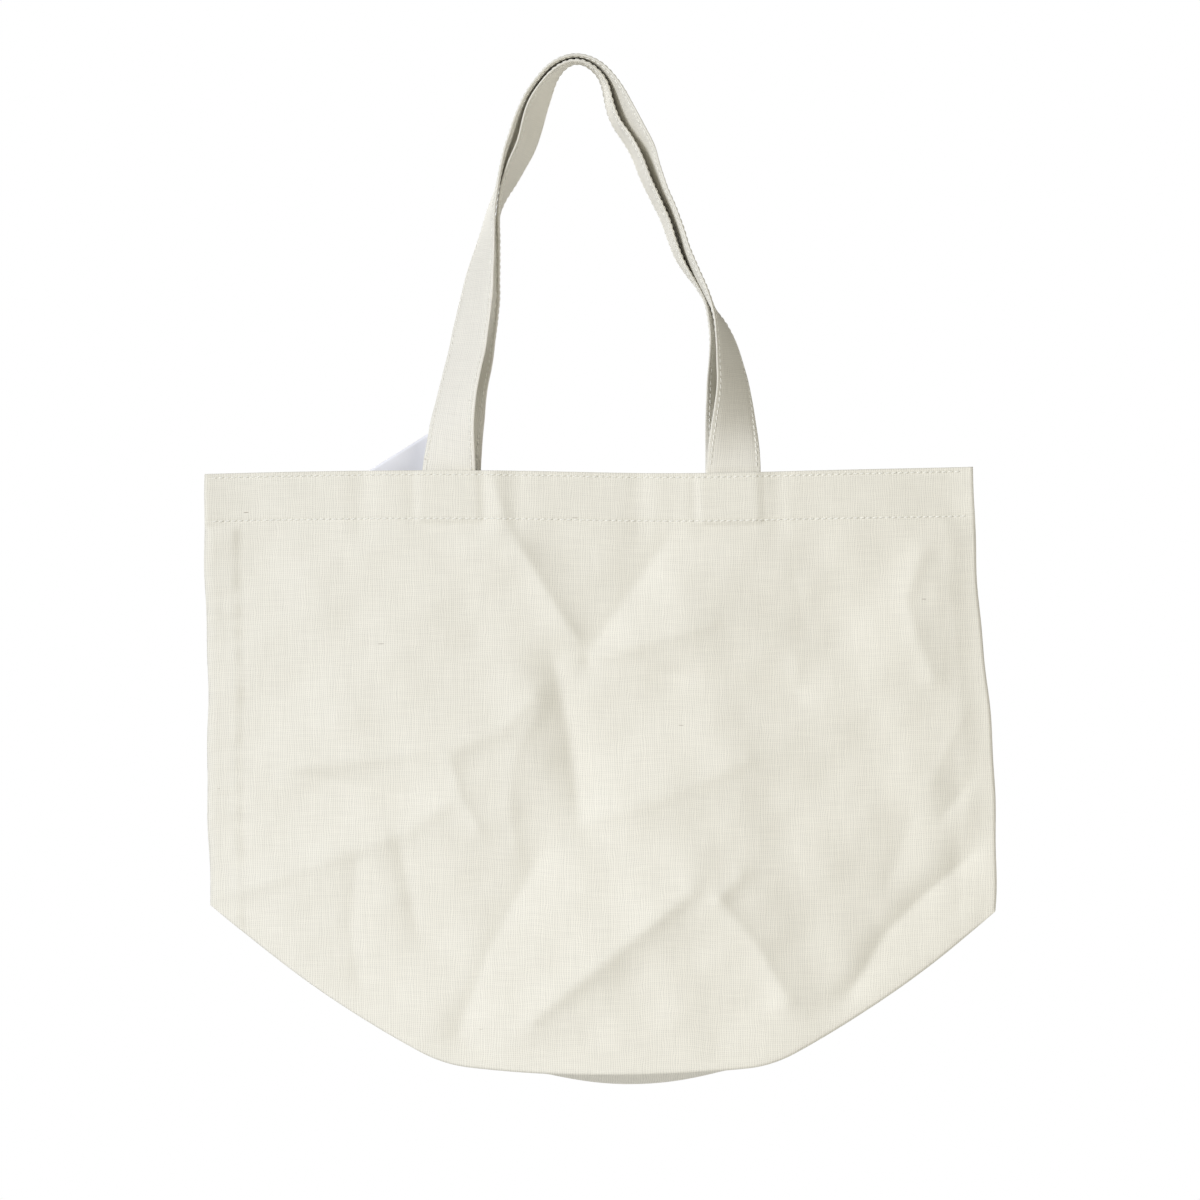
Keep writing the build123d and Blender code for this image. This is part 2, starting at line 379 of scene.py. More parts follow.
class ToteBagSizes(bpy.types.PropertyGroup):
    """Sizes of the bag's cloth."""

    mouth_width: bpy.props.FloatProperty(
        name="Mouth width", description="Between the side seams at the mouth", default=0.420, unit="LENGTH"
    )
    mouth_depth: bpy.props.FloatProperty(
        name="Mouth depth", description="How far the mouth stands open", default=0.036, unit="LENGTH"
    )
    corner_width: bpy.props.FloatProperty(
        name="Corner width", description="Between the lower corners", default=0.430, unit="LENGTH"
    )
    corner_drop: bpy.props.FloatProperty(
        name="Corner drop", description="From the mouth down to those corners", default=0.238, unit="LENGTH"
    )
    base_width: bpy.props.FloatProperty(
        name="Base width", description="Length of the base between the slants", default=0.176, unit="LENGTH"
    )
    base_depth: bpy.props.FloatProperty(
        name="Base depth", description="From front to back at the base", default=0.062, unit="LENGTH"
    )
    base_drop: bpy.props.FloatProperty(
        name="Base drop", description="From the mouth to the base's ends", default=0.3235, unit="LENGTH"
    )
    height: bpy.props.FloatProperty(
        name="Height", description="From the mouth to the base's middle", default=0.329, unit="LENGTH"
    )
    slant_bow: bpy.props.FloatProperty(
        name="Slant bow", description="How far the slanted edges bow out", default=5.5 * MM, unit="LENGTH"
    )
    canvas: bpy.props.FloatProperty(
        name="Canvas", description="Thickness of the cloth", default=0.95 * MM, unit="LENGTH"
    )
    hem: bpy.props.FloatProperty(
        name="Hem", description="Height of the turned-in hem", default=0.0273, unit="LENGTH"
    )
    seam: bpy.props.FloatProperty(
        name="Seam allowance", description="Cloth turned in at the seams", default=0.015, unit="LENGTH"
    )
    lean: bpy.props.FloatProperty(
        name="Lean", description="How far the base hangs to one side", default=0.011, unit="LENGTH"
    )
    askew: bpy.props.FloatProperty(
        name="Askew", description="How much lower the right corner hangs", default=0.0035, unit="LENGTH"
    )
    creasing: bpy.props.FloatProperty(
        name="Creasing", description="How deep the folds are", default=1.45, min=0.0, max=2.0
    )


class ToteStrapSizes(bpy.types.PropertyGroup):
    """Sizes of the handles, the label and the stitching."""

    width: bpy.props.FloatProperty(
        name="Strap width", description="Width of a handle", default=0.030, unit="LENGTH"
    )
    thickness: bpy.props.FloatProperty(
        name="Strap thickness", description="Thickness of a handle", default=2.2 * MM, unit="LENGTH"
    )
    edge_row: bpy.props.FloatProperty(
        name="Edge row", description="From a strap's edge to its stitching", default=2.3 * MM, unit="LENGTH"
    )
    label_length: bpy.props.FloatProperty(
        name="Label length", description="Long side of the label", default=0.046, unit="LENGTH"
    )
    label_width: bpy.props.FloatProperty(
        name="Label width", description="Short side of the label", default=0.034, unit="LENGTH"
    )
    label_tilt: bpy.props.FloatProperty(
        name="Label tilt", description="How far the label leans", default=math.radians(32), subtype="ANGLE"
    )
    stitch_pitch: bpy.props.FloatProperty(
        name="Stitch pitch", description="From one stitch to the next", default=3.5 * MM, unit="LENGTH"
    )
    stitch_length: bpy.props.FloatProperty(
        name="Stitch length", description="Length of a stitch that shows", default=2.7 * MM, unit="LENGTH"
    )
    thread: bpy.props.FloatProperty(
        name="Thread", description="Thickness of the sewing thread", default=0.8 * MM, unit="LENGTH"
    )


class ToteColours(bpy.types.PropertyGroup):
    """Colours of the bag."""

    canvas: bpy.props.FloatVectorProperty(
        name="Canvas", description="Colour of the cloth", subtype="COLOR", default=(0.80, 0.78, 0.70)
    )
    strap: bpy.props.FloatVectorProperty(
        name="Strap", description="Colour of the handles", subtype="COLOR", default=(0.81, 0.79, 0.72)
    )
    thread: bpy.props.FloatVectorProperty(
        name="Thread", description="Colour of the thread", subtype="COLOR", default=(0.84, 0.83, 0.77)
    )
    label: bpy.props.FloatVectorProperty(
        name="Label", description="Colour of the satin label", subtype="COLOR", default=(0.86, 0.87, 0.93)
    )
    fleck: bpy.props.FloatVectorProperty(
        name="Fleck", description="Colour of the flecks", subtype="COLOR", default=(0.24, 0.19, 0.15)
    )


def smooth(share):
    """Eases a share from 0 to 1."""
    share = np.clip(share, 0.0, 1.0)
    return share * share * (3.0 - 2.0 * share)


def unit(vectors):
    """Vectors brought to length 1."""
    return vectors / np.maximum(np.linalg.norm(vectors, axis=-1, keepdims=True), TINY)


def travelled(points):
    """Distance of every point from the first, along its line or along its column of a grid."""
    steps = np.linalg.norm(np.diff(points, axis=0), axis=-1)
    return np.concatenate([np.zeros_like(steps[:1]), np.cumsum(steps, axis=0)])


def sampled(spots, travel, values):
    """Values at distances along a line, from those at its points."""
    return np.stack([np.interp(spots, travel, column) for column in values.T], axis=-1)


def half_width(bag, drop):
    """Half the width between the side seams, at a drop below the mouth."""
    return bag.mouth_width / 2 + (bag.corner_width - bag.mouth_width) / 2 * drop / bag.corner_drop


def bow(bag, x, drop):
    """How far a smooth panel stands out from the bag's middle plane."""
    wide = half_width(bag, drop)
    deep = bag.mouth_depth / 2 + (bag.base_depth - bag.mouth_depth) / 2 * drop / bag.height
    radius = (wide * wide + deep * deep) / (2 * deep)
    return np.sqrt(np.maximum(radius * radius - x * x, 0.0)) - radius + deep


def bottom(bag, x):
    """Drop of the lower edge below the mouth: slanted corners that run into a sagging base."""
    x = np.abs(x)
    half_base = bag.base_width / 2
    sag = bag.height - bag.base_drop
    radius = (half_base * half_base + sag * sag) / (2 * sag)
    arc = bag.height - radius + np.sqrt(np.maximum(radius * radius - x * x, 0.0))
    slope = (bag.base_drop - bag.corner_drop) / (bag.corner_width / 2 - half_base)
    share = (x - half_base) / (bag.corner_width / 2 - half_base)
    bowed = bag.slant_bow * 4 * share * (1 - share)
    slant = bag.base_drop - (x - half_base) * slope + bowed
    blend = np.clip(0.5 + 0.5 * (slant - arc) / BASE_ROUNDING, 0.0, 1.0)
    return slant * (1 - blend) + arc * blend - BASE_ROUNDING * blend * (1 - blend)


def lean(bag, drop):
    """Sideways hang of the bag at a drop below the mouth."""
    return bag.lean * drop / bag.height


def fold_height(fold, x, drop):
    """Height of one fold at each point: a rounded crest along its line that falls away on both sides."""
    height, reach_before, reach_after, points = fold
    nearest = np.full(x.shape, np.inf)
    balance = np.zeros(x.shape)
    line = np.array(points) * MM
    for start, end in zip(line[:-1], line[1:]):
        run = end - start
        length = math.hypot(*run)
        along = run / length
        dx = x - start[0]
        dz = drop - start[1]
        share = np.clip((dx * along[0] + dz * along[1]) / length, 0.0, 1.0)
        gap = np.hypot(dx - run[0] * share, dz - run[1] * share)
        lateral = dx * along[1] - dz * along[0]
        closer = gap < nearest
        nearest = np.where(closer, gap, nearest)
        balance = np.where(closer, lateral / np.maximum(gap, SMALLEST_GAP), balance)
    side = 0.5 + 0.5 * np.clip(balance, -1.0, 1.0)
    reach = (reach_before * (1 - side) + reach_after * side) * MM
    rounded = np.sqrt(nearest * nearest + FOLD_ROUNDING * FOLD_ROUNDING) - FOLD_ROUNDING
    return height * MM * np.exp(-rounded / reach)


def slack(x, drop, seed):
    """Gentle unevenness of loose cloth, as a sum of seeded waves."""
    draw = np.random.RandomState(seed)
    total = np.zeros(x.shape)
    for wave, size in SLACK_WAVES:
        for _ in range(SLACK_DIRECTIONS):
            angle = draw.uniform(0, math.pi)
            phase = draw.uniform(0, 2 * math.pi)
            along = x * math.cos(angle) + drop * math.sin(angle)
            total += size * MM * np.sin(2 * math.pi * along / wave + phase) / 2
    return total


def near_strap(x, drop, spread):
    """1 where a handle's sewn end lies behind the hem, fading to 0 over a spread round it."""
    off = np.abs(np.abs(x) - STRAP_X) - STRAP_HALF
    beside = 1.0 - smooth(off / spread)
    return beside * (1.0 - smooth((drop - STRAP_END_DROP) / spread))


def creases(bag, side, x, drop):
    """How far the folds and the slack of the cloth lift a panel out of its smooth bow."""
    hung_x = x + lean(bag, drop)
    folds = FRONT_FOLDS if side == FRONT else BACK_FOLDS
    lift = slack(hung_x, drop, SLACK_SEEDS[side])
    for fold in folds:
        lift = lift + fold_height(fold, hung_x, drop)
    below_hem = smooth((drop - bag.hem) / HEM_FADE)
    lift = lift * (HEM_FOLDS + (1 - HEM_FOLDS) * below_hem)
    for height, spot in HEM_WAVES:
        wave = height * MM * np.exp(-(((hung_x - spot * MM) / (HEM_WAVE_REACH * MM)) ** 2))
        lift = lift + wave * (1.0 - below_hem)
    lift = lift * (1.0 - STRAP_CALM * near_strap(x, drop, STRAP_FADE))
    at_side = smooth((half_width(bag, drop) - np.abs(x)) / SIDE_FADE)
    above_base = BASE_FOLDS + (1 - BASE_FOLDS) * smooth((bottom(bag, x) - drop) / BASE_FADE)
    return lift * at_side * above_base * bag.creasing


def outside(bag, side, x, drop):
    """How far a panel's outside stands from the middle plane, with its folds and what presses through."""
    closed = smooth((drop - bag.hem) / EDGE_CLOSING)
    thinnest = bag.canvas * (HEM_LAYERS - (HEM_LAYERS - SEAM_LAYERS) * closed)
    depth = bow(bag, x, drop)
    depth = thinnest + np.logaddexp(0.0, (depth - thinnest) / EDGE_EASE) * EDGE_EASE
    depth = depth + creases(bag, side, x, drop)
    depth = depth + STRAP_PRINT * near_strap(x, drop, STRAP_PRINT_EDGE)
    for row, deep in ROW_GROOVES:
        depth = depth - deep * np.exp(-(((drop - row) / GROOVE_REACH) ** 2))
    depth = depth - HEM_STEP * smooth((drop - HEM_ROW) / HEM_STEP_REACH)
    from_side = half_width(bag, drop) - np.abs(x)
    ridge = 1.0 - smooth((from_side - bag.seam) / RIDGE_SOFTNESS)
    ridge = ridge * smooth((drop - bag.hem) / RIDGE_SOFTNESS)
    pressed = BACK_RIDGE
    if side == FRONT:
        drift = PUCKER_DRIFT * np.sin(drop / PUCKER_DRIFT_WAVE)
        pucker = SEAM_PUCKER * np.sin(drop / PUCKER_WAVE + drift)
        pressed = np.where(x < 0, LEFT_RIDGE + pucker, RIGHT_RIDGE)
    return depth + pressed * ridge * smooth(from_side / RIDGE_EDGE)


def place(bag, side, x, drop, depth):
    """Points at a depth from the middle plane, on a bag that hangs askew with uneven side edges."""
    share = x / half_width(bag, drop)
    down = drop / bag.corner_drop
    above_corner = np.maximum(1 - down, 0)
    lowered = bag.askew * (np.maximum(share, 0) ** 2 * down - MOUTH_TIP * share**3 * above_corner)
    lowered = lowered + MOUTH_SAG * above_corner * np.exp(-(((x - MOUTH_SAG_X) / MOUTH_SAG_REACH) ** 2))
    sideways = lean(bag, drop) + SIDE_BULGE * np.maximum(share, 0) ** 3 * down**3 * above_corner
    for height, wave, phase in SIDE_WAVES:
        sideways = sideways + share**3 * height * MM * np.sin(drop / wave + phase + np.sign(x))
    return np.stack([x + sideways, side * depth, MOUTH_Z - drop - lowered], axis=-1)


def panel_rows(bag, side):
    """Points of a panel's outside, from its hem's edge over the mouth and down to the seam under the base."""
    across = np.linspace(-1.0, 1.0, PANEL_COLUMNS) * -side
    turn = bag.canvas + LAYER_GAP / 2
    rows = []

    def add(drop, inset):
        drop = np.full(across.shape, 1.0) * drop
        x = across * half_width(bag, drop)
        rows.append(place(bag, side, x, drop, outside(bag, side, x, drop) - inset))

    for drop in np.linspace(bag.hem, turn, HEM_ROWS):
        add(drop, 2 * turn)
    for angle in np.linspace(math.pi, 0, TURN_ROWS + 2)[1:-1]:
        add(turn * (1 - math.sin(angle)), turn * (1 - math.cos(angle)))
    for drop in np.linspace(turn, FINE_DROP, FINE_ROWS):
        add(drop, 0.0)
    low_x = across * bag.corner_width / 2
    low = bottom(bag, low_x)
    edge_depth = outside(bag, side, low_x, low)
    radius = np.minimum(BASE_TURN, BASE_TURN_SHARE * edge_depth)
    for share in np.linspace(0, 1, WALL_ROWS)[1:]:
        add(FINE_DROP + (low - radius - FINE_DROP) * share, 0.0)
    depth = side * rows[-1][:, 1]
    x = across * half_width(bag, low - radius)
    for angle in np.linspace(0, math.pi / 2, TURN_ROWS + 1)[1:]:
        drop = low - radius + radius * math.sin(angle)
        rows.append(place(bag, side, x, drop, depth - radius + radius * math.cos(angle)))
    for share in np.linspace(0, 1, BASE_ROWS)[1:]:
        sag = BASE_SAG * np.maximum(1 - ((x - SAG_X) / SAG_REACH) ** 2, 0) * math.sin(share * math.pi / 2)
        rows.append(place(bag, side, x, low + sag, (depth - radius) * (1 - share) + LAYER_GAP * share))
    return np.array(rows)


def cloth_map(points):
    """Flat coordinates of a sheet, in metres across and along, for laying the weave on it."""
    return np.stack([points[..., 0], -travelled(points)], axis=-1)


def grid_normals(points):
    """Normals of a grid of points, on the side that its rows and columns turn to."""
    return unit(np.cross(np.gradient(points, axis=0), np.gradient(points, axis=1)))


def add_mesh(name, vertices, faces, flat=None):
    """New mesh object, smooth shaded, with flat cloth coordinates as its UV map."""
    mesh = bpy.data.meshes.new(name)
    mesh.from_pydata(vertices.tolist(), [], faces)
    mesh.polygons.foreach_set("use_smooth", [True] * len(mesh.polygons))
    if flat is not None:
        corners = np.zeros(len(mesh.loops), dtype=np.int32)
        mesh.loops.foreach_get("vertex_index", corners)
        layer = mesh.uv_layers.new(name="Cloth")
        layer.data.foreach_set("uv", flat[corners].astype(np.float32).ravel())
    mesh.update()
    piece = bpy.data.objects.new(name, mesh)
    bpy.context.scene.collection.objects.link(piece)
    return piece


def closed_sheet(name, points, thickness):
    """Sheet of cloth with a thickness, from a grid of points on its outside."""
    rows, columns = points.shape[:2]
    inner = points - grid_normals(points) * thickness
    count = rows * columns
    index = np.arange(count).reshape(rows, columns)
    faces = []
    for row in range(rows - 1):
        for column in range(columns - 1):
            a = int(index[row, column])
            b = int(index[row + 1, column])
            c = int(index[row + 1, column + 1])
            d = int(index[row, column + 1])
            faces.append((a, b, c, d))
            faces.append((a + count, d + count, c + count, b + count))
    rim = list(index[:, 0]) + list(index[-1, 1:]) + list(index[-2::-1, -1]) + list(index[0, -2:0:-1])
    rim = [int(item) for item in rim]
    for a, b in zip(rim, rim[1:] + rim[:1]):
        faces.append((b, a, a + count, b + count))
    vertices = np.concatenate([points.reshape(-1, 3), inner.reshape(-1, 3)])
    flat = cloth_map(points).reshape(-1, 2)
    return add_mesh(name, vertices, faces, np.concatenate([flat, flat]))


def through(keys, spacing):
    """Even samples along a smooth curve through key rows: place in mm, then any further values."""
    keys = np.array(keys, dtype=float)
    padded = np.vstack([2 * keys[0] - keys[1], keys, 2 * keys[-1] - keys[-2]])
    samples = []
    for before, start, end, after in zip(padded[:-3], padded[1:-2], padded[2:-1], padded[3:]):
        bend = 2 * before - 5 * start + 4 * end - after
        turn = 3 * start - before - 3 * end + after
        for share in np.linspace(0, 1, CURVE_STEPS, endpoint=False):
            square = share * share
            cube = square * share
            samples.append(0.5 * (2 * start + (end - before) * share + bend * square + turn * cube))
    samples.append(keys[-1])
    samples = np.array(samples)
    travel = travelled(samples[:, :3])
    count = int(travel[-1] * MM / spacing) + 1
    return sampled(np.linspace(0, travel[-1], count), travel, samples)


def along_of(places):
    """Direction of a path at each of its places, and the direction from it into the handle's loop."""
    along = unit(np.gradient(places, axis=0))
    return along, np.stack([along[:, 2], 0 * along[:, 1], -along[:, 0]], axis=-1)


def eased(values):
    """Values along a path, averaged with their neighbours; past its ends the end values repeat."""
    weights = np.hanning(STRAP_EASE + 2)
    reach = len(weights) // 2
    padded = np.vstack([values[:1]] * reach + [values] + [values[-1:]] * reach)
    columns = [np.convolve(column, weights / weights.sum(), "valid") for column in padded.T]
    return np.stack(columns, axis=-1)


def strap_frames(strap, keys):
    """Distances and places along a strap's middle, with the directions of its width and its inner face."""
    rows = through(keys, STRAP_STEP)
    edge = np.stack([rows[:, 0] * MM, rows[:, 1] * MM, MOUTH_Z + rows[:, 2] * MM], axis=-1)
    twist = np.radians(rows[:, 3])[:, None]
    places = eased(edge - along_of(edge)[1] * np.cos(twist) * strap.width / 2)
    twist = eased(twist)
    along, inward = along_of(places)
    wide = inward * np.cos(twist) + np.array([[0.0, -1.0, 0.0]]) * np.sin(twist)
    wide = unit(wide - along * np.sum(wide * along, axis=-1, keepdims=True))
    return travelled(places), places, wide, np.cross(along, wide)


def strap_ripple(travel, across, seed):
    """Unevenness of a strap's face, in metres."""
    draw = np.random.RandomState(seed)
    total = 0.0 * travel * across
    for wave, size in STRAP_WAVES:
        phase = draw.uniform(0, 2 * math.pi)
        skew = draw.uniform(-STRAP_SKEW, STRAP_SKEW)
        total = total + size * MM * np.sin(2 * math.pi * (travel + skew * across) / wave + phase)
    return total


def strap_point(strap, frames, across, face, seed):
    """Points on the inner or the outer face of a strap, at a distance across it."""
    travel, places, wide, inner = frames
    half = strap.width / 2
    swell = strap.thickness / 2 * (1.0 - np.abs(across / half) ** STRAP_SQUARENESS) ** 0.5
    off_row = np.abs(across) - (half - strap.edge_row)
    swell = swell - STRAP_GROOVE * np.exp(-((off_row / STRAP_GROOVE_REACH) ** 2))
    lift = (face * swell + strap_ripple(travel, across, seed))[:, None]
    return places + wide * across + inner * lift


def tube_faces(rings, around, start):
    """Faces of a tube of rings of points, closed at both ends, from the number of its first point."""
    faces = []
    for ring in range(rings - 1):
        for item in range(around):
            a = start + ring * around + item
            b = start + ring * around + (item + 1) % around
            faces.append((a, b, b + around, a + around))
    last = start + (rings - 1) * around
    faces.append(tuple(reversed(range(start, start + around))))
    faces.append(tuple(range(last, last + around)))
    return faces


def strap_mesh(strap, name, frames, seed):
    """A strap as one closed band, with rounded edges and a shallow groove along each row of stitching."""
    half = strap.width / 2
    row = (half - strap.edge_row) / half
    # Places across the strap, as shares of half its width: close together at the groove and at the edge
    shares = [0.0, 0.3, 0.6, row - 0.07, row, row + 0.05, 0.97, 0.99]
    stations = [-item * half for item in reversed(shares[1:])] + [item * half for item in shares]
    ring = [(-half, INNER)] + [(across, INNER) for across in stations]
    ring += [(half, INNER)] + [(across, OUTER) for across in reversed(stations)]
    columns = [strap_point(strap, frames, across, face, seed) for across, face in ring]
    points = np.stack(columns, axis=1)
    count, around = points.shape[:2]
    flat = np.zeros((count, around, 2))
    flat[..., 0] = np.array([across + (FACES_APART if face == OUTER else 0) for across, face in ring])
    flat[..., 1] = frames[0][:, None]
    return add_mesh(name, points.reshape(-1, 3), tube_faces(count, around, 0), flat.reshape(-1, 2))


def even_rows(points, pitch):
    """Even steps along a line, its points' own distances, and its place and direction at each step."""
    travel = travelled(points)
    even = np.arange(pitch / 2, travel[-1] - pitch / 2, pitch)
    stepped = sampled(even, travel, points)
    ahead = sampled(even + STEP_AHEAD, travel, points)
    return even, travel, stepped, unit(ahead - stepped)


def stitch_line(strap, points, normals):
    """Vertices and faces of a row of stitches on the cloth, each a short slanted loop of thread."""
    even, travel, places, along = even_rows(points, strap.stitch_pitch)
    up = unit(sampled(even, travel, normals))
    along = along + np.cross(up, along) * STITCH_SLANT
    side = np.cross(up, along)
    vertices = []
    faces = []
    for place_at, ahead, across, out in zip(places, along, side, up):
        start = len(vertices)
        for share, size in STITCH_RINGS:
            for step in range(STITCH_SIDES):
                angle = 2 * math.pi * step / STITCH_SIDES
                wide = across * math.cos(angle) * strap.thread / 2 * size
                rise = math.sin(angle) * size + STITCH_RISE * (size - STITCH_END)
                high = out * rise * strap.thread / 2
                vertices.append(place_at + ahead * share * strap.stitch_length / 2 + wide + high)
        faces += tube_faces(len(STITCH_RINGS), STITCH_SIDES, start)
    return vertices, faces


def stitches(strap, name, lines):
    """Rows of stitches as one piece."""
    vertices = []
    faces = []
    for points, normals in lines:
        more, more_faces = stitch_line(strap, points, normals)
        faces += [tuple(item + len(vertices) for item in face) for face in more_faces]
        vertices += more
    return add_mesh(name, np.array(vertices), faces)


def surface_line(bag, side, drop):
    """Points along a level line on the outside of a panel, and the outward direction at each."""
    reach = half_width(bag, drop) - LINE_END
    x = np.linspace(-reach, reach, int(2 * reach / MM))
    levels = [np.full(x.shape, drop + shift) for shift in (-STEP_DOWN, 0.0, STEP_DOWN)]
    lines = [place(bag, side, x, level, outside(bag, side, x, level)) for level in levels]
    return lines[1], unit(np.cross(lines[2] - lines[0], np.gradient(lines[1], axis=0)) * -side)


def seam_strip(bag, side_sign):
    """Points of the cloth turned in along a side seam, on the inside of the front panel."""
    rows = []
    for drop in np.linspace(bag.hem + MM, bag.corner_drop - bag.seam, SEAM_ROWS):
        level = np.full(SEAM_COLUMNS, drop)
        wide = half_width(bag, drop)
        x = np.sort(side_sign * np.linspace(wide - bag.seam, wide - SEAM_INSET, SEAM_COLUMNS))
        depth = outside(bag, FRONT, x, level) - bag.canvas - LAYER_GAP
        rows.append(place(bag, FRONT, x, level, depth))
    return np.array(rows)


def base_strip(bag):
    """Points of the cloth turned in along the seam under the base."""
    x = np.linspace(-bag.base_width / 2, bag.base_width / 2, BASE_STRIP_COLUMNS) * BASE_STRIP_SHARE
    low = bottom(bag, x) - bag.canvas - LAYER_GAP - BASE_STRIP_CLEAR
    rows = []
    for depth in np.linspace(BASE_STRIP_CLEAR, bag.seam, BASE_STRIP_ROWS):
        rows.append(place(bag, BACK, x, low, np.full(x.shape, depth)))
    return np.array(rows)


def label_points(strap):
    """Points of the label: a tilted rectangle that curls a little at its free corner."""
    rows = []
    right = np.array([math.cos(strap.label_tilt), 0.0, math.sin(strap.label_tilt)])
    down = np.array([math.sin(strap.label_tilt), 0.0, -math.cos(strap.label_tilt)])
    corner = np.array([LABEL_CORNER_X, LABEL_Y, MOUTH_Z])
    wave_across, wave_down = LABEL_WAVE_ANGLES
    for fall in np.linspace(0, 1, LABEL_ROWS):
        row = []
        for share in np.linspace(0, 1, LABEL_COLUMNS):
            curl = -LABEL_CURL * (1 - fall) ** 2 * (1 - share)
            curl -= LABEL_WAVE * math.sin(share * wave_across + fall * wave_down) ** 2
            flat = corner + right * share * strap.label_length + down * fall * strap.label_width
            row.append(flat + np.array([0.0, curl, 0.0]))
        rows.append(row)
    return np.array(rows)


def strap_rows(strap, frames, seed):
    """Lines of stitching along both edges of both faces of a strap."""
    row = strap.width / 2 - strap.edge_row
    lines = []
    shown = slice(STRAP_ROW_START, -STRAP_ROW_START)
    for face in (OUTER, INNER):
        for across in (-row, row):
            points = strap_point(strap, frames, across, face, seed)
            lines.append((points[shown], (frames[3] * face)[shown]))
    return lines


def new_socket(group, name, way, kind):
    """Named input or output of a node group."""
    return group.interface.new_socket(name=name, in_out=way, socket_type=kind)


def calc(tree, operation, *values):
    """Math node on sockets or numbers."""
    node = tree.nodes.new("ShaderNodeMath")
    node.operation = operation
    for item, value in enumerate(values):
        if hasattr(value, "is_linked"):
            tree.links.new(value, node.inputs[item])
        else:
            node.inputs[item].default_value = value
    return node.outputs[0]


def stretched(tree, along_u, along_v, size_u, size_v):
    """Flat position counted in cells of a given size."""
    node = tree.nodes.new("ShaderNodeCombineXYZ")
    tree.links.new(calc(tree, "DIVIDE", along_u, size_u), node.inputs[0])
    tree.links.new(calc(tree, "DIVIDE", along_v, size_v), node.inputs[1])
    return node.outputs[0]


def noise_of(tree, vector):
    """Noise over a flat position."""
    node = tree.nodes.new("ShaderNodeTexNoise")
    node.noise_dimensions = "2D"
    node.inputs["Scale"].default_value = 1.0
    node.inputs["Detail"].default_value = 1.0
    tree.links.new(vector, node.inputs["Vector"])
    return node.outputs["Fac"]


def group_start(name, outputs):
    """New node group with a flat position as input, and its two coordinates."""
    group = bpy.data.node_groups.new(name, "ShaderNodeTree")
    new_socket(group, "Position", "INPUT", "NodeSocketVector")
    for output in outputs:
        new_socket(group, output, "OUTPUT", "NodeSocketFloat")
    start = group.nodes.new("NodeGroupInput")
    end = group.nodes.new("NodeGroupOutput")
    split = group.nodes.new("ShaderNodeSeparateXYZ")
    group.links.new(start.outputs["Position"], split.inputs[0])
    return group, end, split.outputs[0], split.outputs[1]


def weave_group():
    """Woven yarns: their height, the gaps between them, and the streaks of thick and thin yarn."""
    group, end, u, v = group_start("Canvas weave", ("Height", "Gaps", "Streak"))
    warp_yarn = noise_of(group, stretched(group, u, v, WARP_PITCH, WARP_RUN))
    weft_yarn = noise_of(group, stretched(group, u, v, WEFT_RUN, WEFT_PITCH))
    wander = noise_of(group, stretched(group, u, v, *WANDER_CELL))
    wander = calc(group, "MULTIPLY", wander, YARN_WANDER)
    warp = calc(group, "COSINE", calc(group, "MULTIPLY_ADD", u, 2 * math.pi / WARP_PITCH, wander))
    weft = calc(group, "COSINE", calc(group, "MULTIPLY_ADD", v, 2 * math.pi / WEFT_PITCH, wander))
    warp = calc(group, "MULTIPLY_ADD", warp, 0.5, 0.5)
    weft = calc(group, "MULTIPLY_ADD", weft, 0.5, 0.5)
    yarns = calc(group, "MULTIPLY_ADD", weft, weft_yarn, calc(group, "MULTIPLY", warp, warp_yarn))
    between_warp = calc(group, "SUBTRACT", 1.0, warp)
    between_weft = calc(group, "SUBTRACT", 1.0, weft)
    crossing = calc(group, "MULTIPLY_ADD", between_weft, 1 - GAP_ALONG_WARP, GAP_ALONG_WARP)
    gaps = calc(group, "MULTIPLY", between_warp, crossing)
    streak = calc(group, "MULTIPLY", calc(group, "ADD", warp_yarn, weft_yarn), 0.5)
    group.links.new(yarns, end.inputs["Height"])
    group.links.new(gaps, end.inputs["Gaps"])
    group.links.new(streak, end.inputs["Streak"])
    return group


def fleck_group():
    """Sparse short flecks of seed husk that lie along the weft."""
    group, end, u, v = group_start("Canvas flecks", ("Mask",))
    cells = group.nodes.new("ShaderNodeTexVoronoi")
    cells.voronoi_dimensions = "2D"
    cells.inputs["Scale"].default_value = 1.0
    group.links.new(stretched(group, u, v, *FLECK_CELL), cells.inputs["Vector"])
    chance = group.nodes.new("ShaderNodeSeparateColor")
    group.links.new(cells.outputs["Color"], chance.inputs[0])
    least_size, size_spread = FLECK_SIZE
    least_shade, shade_spread = FLECK_SHADE
    chosen = calc(group, "LESS_THAN", chance.outputs[2], FLECK_CHANCE)
    size = calc(group, "MULTIPLY_ADD", chance.outputs[0], size_spread, least_size)
    inside = calc(group, "LESS_THAN", cells.outputs["Distance"], size)
    dark = calc(group, "MULTIPLY_ADD", chance.outputs[1], shade_spread, least_shade)
    mask = calc(group, "MULTIPLY", calc(group, "MULTIPLY", chosen, inside), dark)
    group.links.new(mask, end.inputs["Mask"])
    return group


def placed_group(tree, name, position):
    """Node group placed in a material and laid by a flat position."""
    node = tree.nodes.new("ShaderNodeGroup")
    node.node_tree = bpy.data.node_groups[name]
    tree.links.new(position, node.inputs["Position"])
    return node


